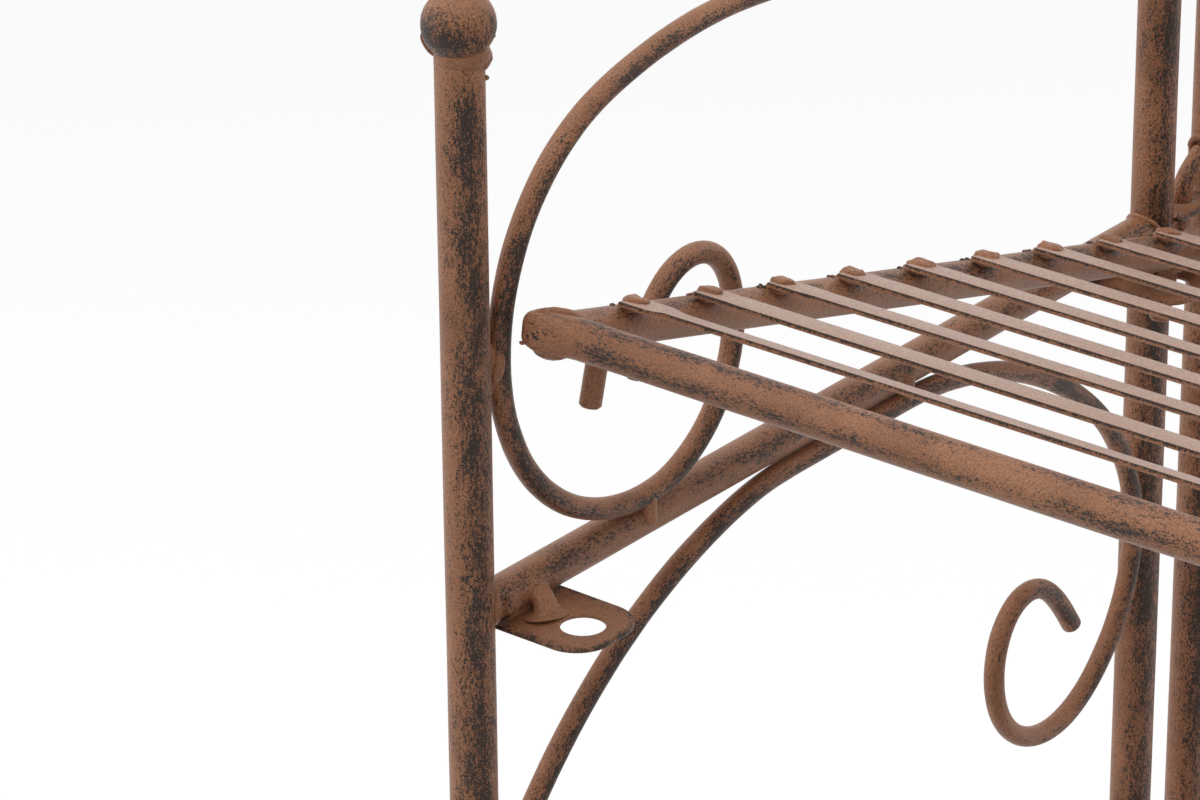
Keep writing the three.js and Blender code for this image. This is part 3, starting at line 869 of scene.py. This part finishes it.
def tab_weld(shape, y, lean, seed):
    """A web that leans from the rail's inner side down to the plate, and a seam along the rail."""
    web = through(TAB_WEB, 64, (1, lean, 1)) + (0, y, 0)
    share = np.linspace(-1, 1, len(web))
    neck = np.minimum(2.5 + 3.2 * np.maximum(-share, 0) ** 2.2, 4.1)
    flare = 1.5 * np.maximum(share, 0) ** 2.2 + 1.8 * np.clip((share - 0.37) / 0.45, 0, 1) ** 4
    bead(shape, web, (neck + flare) * MM, (0, 1, 0), seed=seed, rough=0.08, sides=24, blunt=16,
         stretch=(1, 1.35, 1))
    seam(shape, (3.2 * MM, y, -4.9 * MM), (0, 9 * MM, 0), 1 * MM, 1.0 * MM, (1, 0, 0), seed + 3)


def rail_end_weld(shape, y, lean, seed):
    """The lump where a rail's weld was finished, on its inner side beside the post."""
    centre = (4.5 * MM, y + 9.9 * MM * lean, -0.2 * MM)
    nugget(shape, centre, (2.2, 3.0, 3.3), patina_and_painted_light=0.8, seed=seed, rough=0.15, fine=2)


def post_touch_weld(shape, y, z, lean, seed):
    """A run of weld up the groove between a post and a wire, and a slanting web that bridges them."""
    groove = y - lean * (FRONT_TOUCH - 5.6 * MM)
    seam(shape, (2.6 * MM, groove, z), (0, 0, 7 * MM), 0.8 * MM, 2.0 * MM, (1, 0, 0), seed, 0.15)
    web = through(POST_WEB, 24, (1, lean, 1)) + (0, y, z)
    share = np.linspace(-1, 1, len(web))
    swell = (1.7 + 0.5 * share ** 2) * MM
    bead(shape, web, swell, (1, 0, 0), patina_and_painted_light=-0.1, seed=seed + 1, rough=0.12, sides=20)


def rail_touch_weld(shape, y, up, seed):
    """A neck of weld from a wire to the rail's inner side, wider at both ends."""
    neck = through(RAIL_NECK, 22, (1, 1, 1 if up else -1)) + (0, y, 0)
    share = np.linspace(-1, 1, len(neck))
    swell = (2.1 + 0.8 * np.abs(share) ** 2.5) * MM
    bead(shape, neck, swell, (0, 1, 0), seed=seed, rough=0.1, sides=24, blunt=6)


def side_tier(name, side, tier):
    place = side_place(side, LEVELS[tier])
    welds = rail(name, tier, place, FRAME_DEPTH, RAIL_STRIPE, 0.8 * MM, 1.0)
    for at, post_y, lean in (("front", 0, 1), ("rear", FRAME_DEPTH, -1)):
        y = post_y + lean * TAB_SETBACK
        plate(f"{name}_tab_{at}_{tier}", place @ Matrix.Translation((0, y, TAB_TOP)), TAB)
        tab_weld(welds, y - 1 * MM * lean, lean, y)
        rail_end_weld(welds, post_y, lean, y + 4)
    if tier != "bottom":
        line, crown = hanging_line()
        wire_piece(f"{name}_hanging_scroll_{tier}", line, place)
        post_touch_weld(welds, *line[np.argmin(line[:, 0])], 1, 5.0)
        post_touch_weld(welds, *line[np.argmax(line[:, 0])], -1, 6.0)
        rail_touch_weld(welds, crown[0], False, 7.0)
    if tier == "top":
        line = standing_line()
        wire_piece(f"{name}_standing_scroll", line, place)
        curl = STAND_CURL[0][0] * SPAN
        post_touch_weld(welds, FRONT_TOUCH, RAIL_TOUCH + curl, 1, 8.0)
        post_touch_weld(welds, *line[np.argmax(line[:, 0])], -1, 9.0)
        rail_touch_weld(welds, FRONT_TOUCH + curl, True, 10.0)
    piece(welds.placed(place), "rail_paint", "rack")


def lug_and_pintle(name, side, end, level):
    """A hinge: a plate with a hole on the rear post, and the bent pin that stands in it."""
    place = Matrix.Translation((side * POST_X, REAR_Y, level + LUG_RISE))
    plate(f"{name}_lug_{end}", place @ Matrix.Rotation(pi / 2, 4, "Z"), LUG)

    reach = BACK_OFFSET - LUG_HOLE_REACH
    bend = (PINTLE_BEND, PINTLE_SLOPE * 180 / pi - 90)
    moves = [(PINTLE_TAIL, 0), bend, (reach / cos(PINTLE_SLOPE), 0)]
    line = bent((-reach, -PINTLE_TAIL), pi / 2, moves, 1.5 * MM)
    line = line[line[:, 0] < -POST_RADIUS + 1.2 * MM]
    points = np.column_stack([np.zeros(len(line)), line])
    radius = np.full(len(points), WIRE_RADIUS)
    radius[0] = WIRE_RADIUS * 0.8
    node = f"back_{name}_pintle_{end}"
    shape = Shape(f"{node}_painted")
    sweep(shape, points, radius, WIRE_SIDES, (1, 0, 0), (0.7 * -side, -0.5, 0.5), PINTLE_DENTS)
    back_place = Matrix.Translation((side * POST_X, BACK_Y, level + LUG_RISE))
    piece(shape.placed(back_place), "wire_paint", "rack", node)

    welds = Shape(f"{name}_{end}_hinge_weld_beads")
    angles = turns(26)
    x = (WIRE_RADIUS + 0.3 * MM) * np.cos(angles)
    z = line[-1][1] + (WIRE_RADIUS + 0.6 * MM) * 1.35 * np.sin(angles)
    ring = np.stack([x, -np.sqrt((POST_RADIUS + 0.2 * MM) ** 2 - x * x), z], 1)
    across = unit((0, -cos(PINTLE_SLOPE), sin(PINTLE_SLOPE)))
    bead(welds, ring, 1.2 * MM, across, closed=True, seed=2.0)
    welds.placed(back_place)
    lug_seams = Shape("seam")
    arc = np.linspace(radians(15), radians(165), 18)
    reach = POST_RADIUS + 0.2 * MM
    bead(lug_seams, circle(0, 0, reach, arc, 0.3 * MM), 1.1 * MM, seed=3.0)
    bead(lug_seams, circle(0, 0, reach, arc, -PLATE_THICKNESS - 0.3 * MM), 1.2 * MM, seed=4.0)
    welds.join(lug_seams.placed(place))
    piece(welds, "plate_paint", "rack")


def side_frame(name, side):
    dressed_post(f"{name}_front", side * POST_X, FRONT_Y, side)
    dressed_post(f"{name}_rear", side * POST_X, REAR_Y, side)
    for tier in TIERS:
        side_tier(name, side, tier)
    for end, tier in (("lower", "bottom"), ("upper", "top")):
        lug_and_pintle(name, side, end, LEVELS[tier])


# Back frame

def back_frame():
    for tier in TIERS:
        place = Matrix.Translation((-POST_X, BACK_Y, LEVELS[tier])) @ Matrix.Rotation(-pi / 2, 4, "Z")
        welds = rail("back", tier, place, 2 * POST_X, (0.9, 0, 0.3), 1.0 * MM, 3.0)
        piece(welds.placed(place), "rail_paint", "rack")
    for name, side in (("left", -1), ("right", 1)):
        dressed_post(f"back_{name}", side * POST_X, BACK_Y, side)
    back_arch()


def back_arch():
    radius = (POST_X ** 2 + ARCH_RISE ** 2) / (2 * ARCH_RISE)
    half = atan2(POST_X, radius - ARCH_RISE)
    trim = 5.6 * MM / radius
    angles = np.linspace(-half + trim, half - trim, 150)
    crown = LEVELS["top"] + ARCH_SPRING + ARCH_RISE
    across, up = radius * np.sin(angles), crown - radius * (1 - np.cos(angles))
    path = np.stack([across, np.full(len(angles), BACK_Y), up], 1)
    shape = Shape("back_arch_painted")
    sweep(shape, path, RAIL_RADIUS, RAIL_SIDES, (0, 1, 0), (0.1, -0.9, 0.4), TUBE_DENTS)
    piece(shape, "rail_paint", "rack", "back_arch")

    welds = Shape("back_arch_weld_beads")
    angles = turns(40)
    reach = RAIL_RADIUS + 0.4 * MM
    y = reach * np.cos(angles)
    x = np.sqrt((POST_RADIUS + 0.4 * MM) ** 2 - y * y)
    z = LEVELS["top"] + ARCH_SPRING + reach * np.sin(angles) / cos(half) + x * tan(half)
    for side in (-1, 1):
        ring = np.stack([side * (POST_X - x), BACK_Y + y, z], 1)
        bead(welds, ring, 1.4 * MM, (1, 0, 0), closed=True, seed=side + 3.0)
    piece(welds, "rail_paint", "rack")


# Trays, in axes of their own: X across, Y back from the middle, Z up from the bars' axes

CORNERS = ((1, -1), (1, 1), (-1, 1), (-1, -1))
PIN_Y = TRAY_HALF_DEPTH - PIN_SETBACK
PIN_PLACES = [(x, y) for x in (-TRAY_HALF_WIDTH, TRAY_HALF_WIDTH) for y in (-PIN_Y, PIN_Y)]
MITRE_POWER = 8
SLAT_LOW = RAIL_RADIUS + GAP
SLAT_PITCH = 2 * (TRAY_HALF_DEPTH - SLAT_MARGIN) / (SLAT_COUNT - 1)
SLAT_ROWS = [SLAT_MARGIN - TRAY_HALF_DEPTH + SLAT_PITCH * i for i in range(SLAT_COUNT)]
# Each slat's twist in degrees and its bow in millimetres, from the front
SLAT_TWISTS = (-7, 1, -1.5, 0.8, -0.6, 1.2, -1, 0.5, 0.8)
SLAT_BOWS = (0.25, -0.2, 0.3, 0.1, -0.3, 0.2, -0.1, 0.25, 0.1)


def tray_place(tier):
    pivot = [joint for joint in frame["joints"] if joint["child"] == f"{tier}_tray"][0]["pos_m"]
    own_pivot = (0, pivot[1] - (FRONT_Y + REAR_Y) / 2, TAB_TOP)
    turn = Matrix.Rotation(-TRAY_TILTS[tier], 4, "X")
    return Matrix.Translation(pivot) @ turn @ Matrix.Translation(own_pivot).inverted()


def mitre_width(turn):
    """Width of a corner's section, turned about the inner edge: a soft mitre with weld heaped on it."""
    bulge = CORNER_BULGE * sin(2 * turn) ** 1.5
    squared = (cos(turn) ** MITRE_POWER + sin(turn) ** MITRE_POWER) ** (1 / MITRE_POWER)
    return 2 * RAIL_RADIUS / squared + bulge


def ring_sections():
    """Sections round the tray's ring: place, outward way, width, and how far into a corner."""
    half = np.array((TRAY_HALF_WIDTH, TRAY_HALF_DEPTH))
    sections = []
    for k in range(4):
        start = np.array(CORNERS[k]) * half
        end = np.array(CORNERS[(k + 1) % 4]) * half
        along = np.sign(end - start)
        out = np.array((along[1], -along[0]))
        trim = along * RAIL_RADIUS * 1.3
        for point in between(start + trim, end - trim, TUBE_STEP):
            sections.append((point, out, 2 * RAIL_RADIUS, 0.0))
        inner = end - (out + along) * RAIL_RADIUS
        for turn in np.linspace(0, pi / 2, 19)[1:-1]:
            way = out * cos(turn) + along * sin(turn)
            wide = mitre_width(turn)
            sections.append((inner + way * wide / 2, way, wide, sin(2 * turn)))
    return sections


def tray_ring(shape):
    """The tray's four bars in one ring, with rounded mitres at its corners."""
    angles = turns(RAIL_SIDES)
    cosines, sines = np.cos(angles), np.sin(angles)
    places, ways, widths, cornered = (np.array(column) for column in zip(*ring_sections()))
    level = np.zeros((len(places), 1))
    middles = np.column_stack([places, level])[:, None]
    flat = np.column_stack([ways, level])[:, None]
    cornered = cornered[:, None]
    outward = flat * cosines[:, None] + UP * sines[:, None]
    boxy = np.where(cosines > 0, 2 / (2 + 1.6 * cornered), 1.0)
    across = np.sign(cosines) * np.abs(cosines) ** boxy
    up = np.sign(sines) * np.abs(sines) ** boxy
    grid = middles + flat * (widths / 2)[:, None, None] * across[:, :, None]
    grid = grid + UP * RAIL_RADIUS * up[:, :, None]
    on_front = 1.6 * facing(outward, (0, -0.35, 0.94), (0, -0.95, -0.3)) - 0.6
    on_sides = facing(outward, (0.5, 0, 0.85), (-0.5, 0, 0.85)) + 0.02
    from_side = TRAY_HALF_WIDTH - np.abs(grid[:, :, 0])
    share = np.clip((9 * MM - from_side) / (4 * MM), 0, 1)
    patina_and_painted_light = on_front * (1 - share) + on_sides * share + 0.3 * np.exp(-from_side / (50 * MM)) * (1 - share)
    patina_and_painted_light = np.maximum(patina_and_painted_light, 0.65 * cornered)
    grid = uneven(shape, grid, outward, BAR_DENTS)
    grid = uneven(shape, grid, outward, (CORNER_DENTS[0] * cornered, CORNER_DENTS[1]))
    shape.add_grid(grid, patina_and_painted_light, bar_grain(RAIL_RADIUS, angles, run_along(places)), closed=True)


def tray_pins(shape):
    low = -RAIL_RADIUS - PIN_LENGTH
    heights = np.linspace(low + PIN_CHAMFER, -RAIL_RADIUS * 0.5, 8)
    profile = [(0.1 * MM, low), (PIN_RADIUS - PIN_CHAMFER, low)] + [(PIN_RADIUS, z) for z in heights]
    for x, y in PIN_PLACES:
        lathe(shape, profile, WIRE_SIDES, (0.5, -0.8, 0), PIN_DENTS, (x, y, 0), closed=False)
        shape.patina_and_painted_light[-1] = 0.5 * shape.patina_and_painted_light[-1] - 0.4


def corner_weld(shape, sx, sy, seed):
    """A mitred corner's weld: a seam on top, a lump below and a drop of spatter."""
    corner = np.array((sx * TRAY_HALF_WIDTH, sy * TRAY_HALF_DEPTH, 0))
    out = np.array((sx * 0.78, sy * 0.63, 0))
    turn = atan2(out[1], out[0])
    below = corner + (sx * 1.2 * MM, sy * 1.0 * MM, -4.4 * MM)
    nugget(shape, below, (4.4, 3.6, 2.4), turn, patina_and_painted_light=0.5, seed=seed + 1, rough=0.12, fine=2)
    diagonal = np.array((sx, sy, 0)) / sqrt(2)
    half = mitre_width(pi / 4) / 2
    inner = corner - diagonal * RAIL_RADIUS * sqrt(2)
    angles = np.radians(np.linspace(28, 140, 18))[:, None]
    path = inner + diagonal * half * (1 + np.cos(angles)) + UP * (RAIL_RADIUS - 0.1 * MM) * np.sin(angles)
    bead(shape, path, 1.2 * MM, patina_and_painted_light=-0.3, rough=0.2, seed=seed + 9)
    nugget(shape, corner + out * 8.7 * MM - UP * 3.7 * MM, (0.8, 0.6, 0.5), turn, seed=seed + 20)


def tray_welds(shape):
    """Weld on the mitred corners and round the pins."""
    for k, (sx, sy) in enumerate(((-1, -1), (1, -1), (1, 1), (-1, 1))):
        corner_weld(shape, sx, sy, k + 1.0)
    angles = turns(24)
    reach = PIN_RADIUS + 0.3 * MM
    drop = -np.sqrt((RAIL_RADIUS + 0.2 * MM) ** 2 - (reach * np.cos(angles)) ** 2)
    for x, y in PIN_PLACES:
        bead(shape, circle(x, y, reach, angles, drop), 0.9 * MM, closed=True, seed=x + y)


def slat(shape, y, twist, bow):
    """A flat strip over the side bars, level where it is welded and a little twisted between."""
    half = TRAY_HALF_WIDTH - 1.5 * MM
    soft = 0.22 * MM
    w, t = SLAT_WIDTH / 2, SLAT_THICKNESS / 2
    section = []
    for k, (sy, sz) in enumerate(((1, 1), (-1, 1), (-1, -1), (1, -1))):
        centre = (sy * (w - soft), sz * (t - soft))
        section += arc_pairs(centre, soft, k * pi / 2, (k + 1) * pi / 2, 3)
    section = np.array(section)
    end, middle_start = 24 * MM, 32 * MM
    xs = np.concatenate([
        between([-half], [-half + end], 1 * MM),
        between([-half + middle_start], [half - middle_start], 9 * MM),
        between([half - end], [half], 1 * MM),
    ])
    inside = np.clip((half - np.abs(xs) - 8 * MM) / (6 * MM), 0, 1)
    angle = radians(twist) * inside * inside * (3 - 2 * inside)
    # The slat that is twisted far hardly bows
    lift = bow * MM * (1 - (xs / half) ** 2) * (1 if twist > -5 else 0.3)
    ys = section[:, 0] * np.cos(angle) - section[:, 1] * np.sin(angle)
    zs = section[:, 0] * np.sin(angle) + section[:, 1] * np.cos(angle)
    grid = np.stack([np.broadcast_to(xs, ys.shape), y + ys, SLAT_LOW + t + lift + zs], 2)
    # The front edges get a high patina value that paints them dark, partly patina and partly painted shade;
    # the tops go below zero for a painted reflection, and the undersides stay near zero
    front_edge = section[:, 0] < 0.1 * MM - w
    low_face = section[:, 1] < 0
    shape.add_grid(grid, np.where(front_edge & ~low_face, 1.75, np.where(low_face, 0.1, -0.15)))


def tray_slats(shape):
    """The slats, and the rod that crosses under their middles."""
    for y, twist, bow in zip(SLAT_ROWS, SLAT_TWISTS, SLAT_BOWS):
        slat(shape, y, twist, bow)
    length = 2 * TRAY_HALF_DEPTH
    path = between((0, 0, 0), (0, length, 0), TUBE_STEP)
    path[0, 1] = RAIL_RADIUS * 0.9
    path[-1, 1] = length - RAIL_RADIUS * 0.9
    path += (0, -TRAY_HALF_DEPTH, SLAT_LOW - ROD_RADIUS + 0.15 * MM)
    sweep(shape, path, ROD_RADIUS, WIRE_SIDES, (1, 0, 0), (0.5, 0, 0.8), ROD_DENTS)


def slat_end_weld(shape, side, y, seed):
    """A flat-topped cap on a slat's end, a softer lump that melts it into the bar, and crumbs."""
    size = 1 + 0.22 * noise.noise(Vector((seed, 1, 2)))
    shift = 1.2 * MM * noise.noise(Vector((seed, 5, 2)))
    cap = np.array((side * (TRAY_HALF_WIDTH - 2.8 * MM), y + shift, SLAT_LOW + 0.7 * MM))
    nugget(shape, cap, (3.1 * size, 2.5, 1.8), 0.3 * shift / MM, patina_and_painted_light=-0.1, seed=seed, boxy=3.6, fine=2)
    melt = cap + (side * 1.8 * MM, 0.4 * shift, -1.5 * MM)
    nugget(shape, melt, (2.7, 3.9, 1.8), patina_and_painted_light=0.4, seed=seed + 0.5, rough=0.2, fine=2)
    for k in range(3):
        across = (1.2 + 3.2 * noise.noise(Vector((seed + 3 * k, 2, 7)))) * MM
        along = 6 * MM * noise.noise(Vector((seed + 3 * k, 5, 8)))
        rise = sqrt(RAIL_RADIUS ** 2 - across ** 2)
        crumb = (side * (TRAY_HALF_WIDTH + across), y - 3.5 * MM + along, rise)
        nugget(shape, crumb, (0.7, 0.6, 0.5), seed * k, patina_and_painted_light=1.2, seed=seed + k, rough=0.4)


def slat_welds(shape):
    """Weld at both ends of each slat, and along the rod's sides under it."""
    for i, y in enumerate(SLAT_ROWS):
        for side in (-1, 1):
            slat_end_weld(shape, side, y, i * 2.3 + side)
        for side in (-1, 1):
            centre = (side * (ROD_RADIUS - 1.2 * MM), y, SLAT_LOW - 0.7 * MM)
            seam(shape, centre, (0, 4 * MM, 0), 0.8 * MM, 0.9 * MM, seed=i + side)


def tray(tier):
    place = tray_place(tier)
    body = f"{tier}_tray"
    for part, makers, slot, nodes in (
        ("frame_painted", (tray_ring, tray_pins), "rail_paint", [f"{body}_frame"]),
        ("slats_painted", (tray_slats,), "slat_paint", [f"{body}_slats"]),
        ("weld_beads", (tray_welds, slat_welds), "rail_paint", []),
    ):
        shape = Shape(f"{body}_{part}")
        for make in makers:
            make(shape)
        piece(shape.placed(place), slot, body, *nodes)


# Surroundings

CAMERA_FROM_CORNER = Vector((0.77813, -0.91364, 0.62180))
CAMERA_YAW, CAMERA_PITCH, CAMERA_ROLL = np.radians((-38.90, 25.23, -0.50)).tolist()
FOCAL_PIXELS = 5573.21
IMAGE_WIDTH = 1200
SENSOR_WIDTH = 36.0
NEAREST = 0.05
FARTHEST = 200
FLOOR_REACH = 60.0
FLOOR_COLOUR = (0.6, 0.6, 0.6, 1)
FLOOR_GLOW = 0.485
WORLD_LIGHT = 0.62
# Name, place, the point it is aimed at, size and power of each lamp
LAMPS = (
    ("over", (-0.4, -0.5, 2.9), (0, 0, 0.6), 2.0, 19),
    ("left", (-2.6, -1.6, 1.6), (0, 0, 0.6), 1.6, 18),
    ("behind", (0.8, 2.6, 2.0), (0, 0, 0.7), 1.6, 12),
)


def camera():
    """Stands where the photograph was taken, measured from the corner of post and top rail."""
    data = bpy.data.cameras.new("camera")
    data.sensor_fit = "HORIZONTAL"
    data.sensor_width = SENSOR_WIDTH
    data.lens = FOCAL_PIXELS / IMAGE_WIDTH * SENSOR_WIDTH
    data.clip_start = NEAREST
    data.clip_end = FARTHEST
    made = add_object("camera", data)
    yaw, pitch, roll = CAMERA_YAW, CAMERA_PITCH, CAMERA_ROLL
    ahead = Vector((sin(yaw) * cos(pitch), cos(yaw) * cos(pitch), -sin(pitch)))
    right = Vector((cos(yaw), -sin(yaw), 0))
    down = ahead.cross(right)
    turned_right = cos(roll) * right - sin(roll) * down
    turned_down = sin(roll) * right + cos(roll) * down
    axes = Matrix((turned_right, -turned_down, -ahead)).transposed()
    corner = Vector((-POST_X, FRONT_Y, LEVELS["top"]))
    made.matrix_world = Matrix.Translation(corner + CAMERA_FROM_CORNER) @ axes.to_4x4()
    bpy.context.scene.camera = made


def floor():
    """A plain pale floor that looks white to the camera and keeps the shadow."""
    mesh = bpy.data.meshes.new("floor")
    corners = [(x * FLOOR_REACH, y * FLOOR_REACH, 0) for x, y in ((-1, -1), (1, -1), (1, 1), (-1, 1))]
    mesh.from_pydata(corners, [], [(0, 1, 2, 3)])
    made = add_object("floor", mesh)
    material = bpy.data.materials.new("pale_floor")
    nodes = Nodes(material)
    shader = nodes.tree.nodes["Principled BSDF"]
    nodes.fill(shader, {"Base Color": FLOOR_COLOUR, "Roughness": 0.9, "Specular IOR Level": 0.0})
    rays = nodes.add("LightPath", {}).outputs
    seen = nodes.math("ADD", rays["Is Camera Ray"], rays["Is Glossy Ray"])
    glow = nodes.add("Emission", {"Strength": nodes.math("MULTIPLY", seen, FLOOR_GLOW)})
    both = nodes.add("AddShader", {0: shader.outputs[0], 1: glow.outputs[0]})
    nodes.fill(nodes.tree.nodes["Material Output"], {"Surface": both.outputs[0]})
    made.data.materials.append(material)


def world():
    """Even pale light all round, and plain white where the camera or a reflection sees it."""
    made = bpy.data.worlds.new("studio")
    bpy.context.scene.world = made
    nodes = Nodes(made)
    rays = nodes.add("LightPath", {}).outputs
    seen = nodes.math("MAXIMUM", rays["Is Camera Ray"], rays["Is Glossy Ray"])
    level = nodes.add("MapRange", {"Value": seen, "To Min": WORLD_LIGHT, "To Max": 1.0})
    back = nodes.tree.nodes["Background"]
    nodes.fill(back, {"Color": (1, 1, 1, 1), "Strength": level.outputs["Result"]})


def lamp(name, place, aim, size, power):
    data = bpy.data.lights.new(name, "AREA")
    data.shape = "SQUARE"
    data.size = size
    data.energy = power
    made = add_object(name, data)
    made.location = place
    made.rotation_mode = "QUATERNION"
    made.rotation_quaternion = (Vector(aim) - Vector(place)).to_track_quat("-Z", "Y")


camera()
world()
for values in LAMPS:
    lamp(*values)
floor()
side_frame("left", -1)
side_frame("right", 1)
back_frame()
for tier in TIERS:
    tray(tier)
bpy.context.scene.view_settings.view_transform = "Standard"
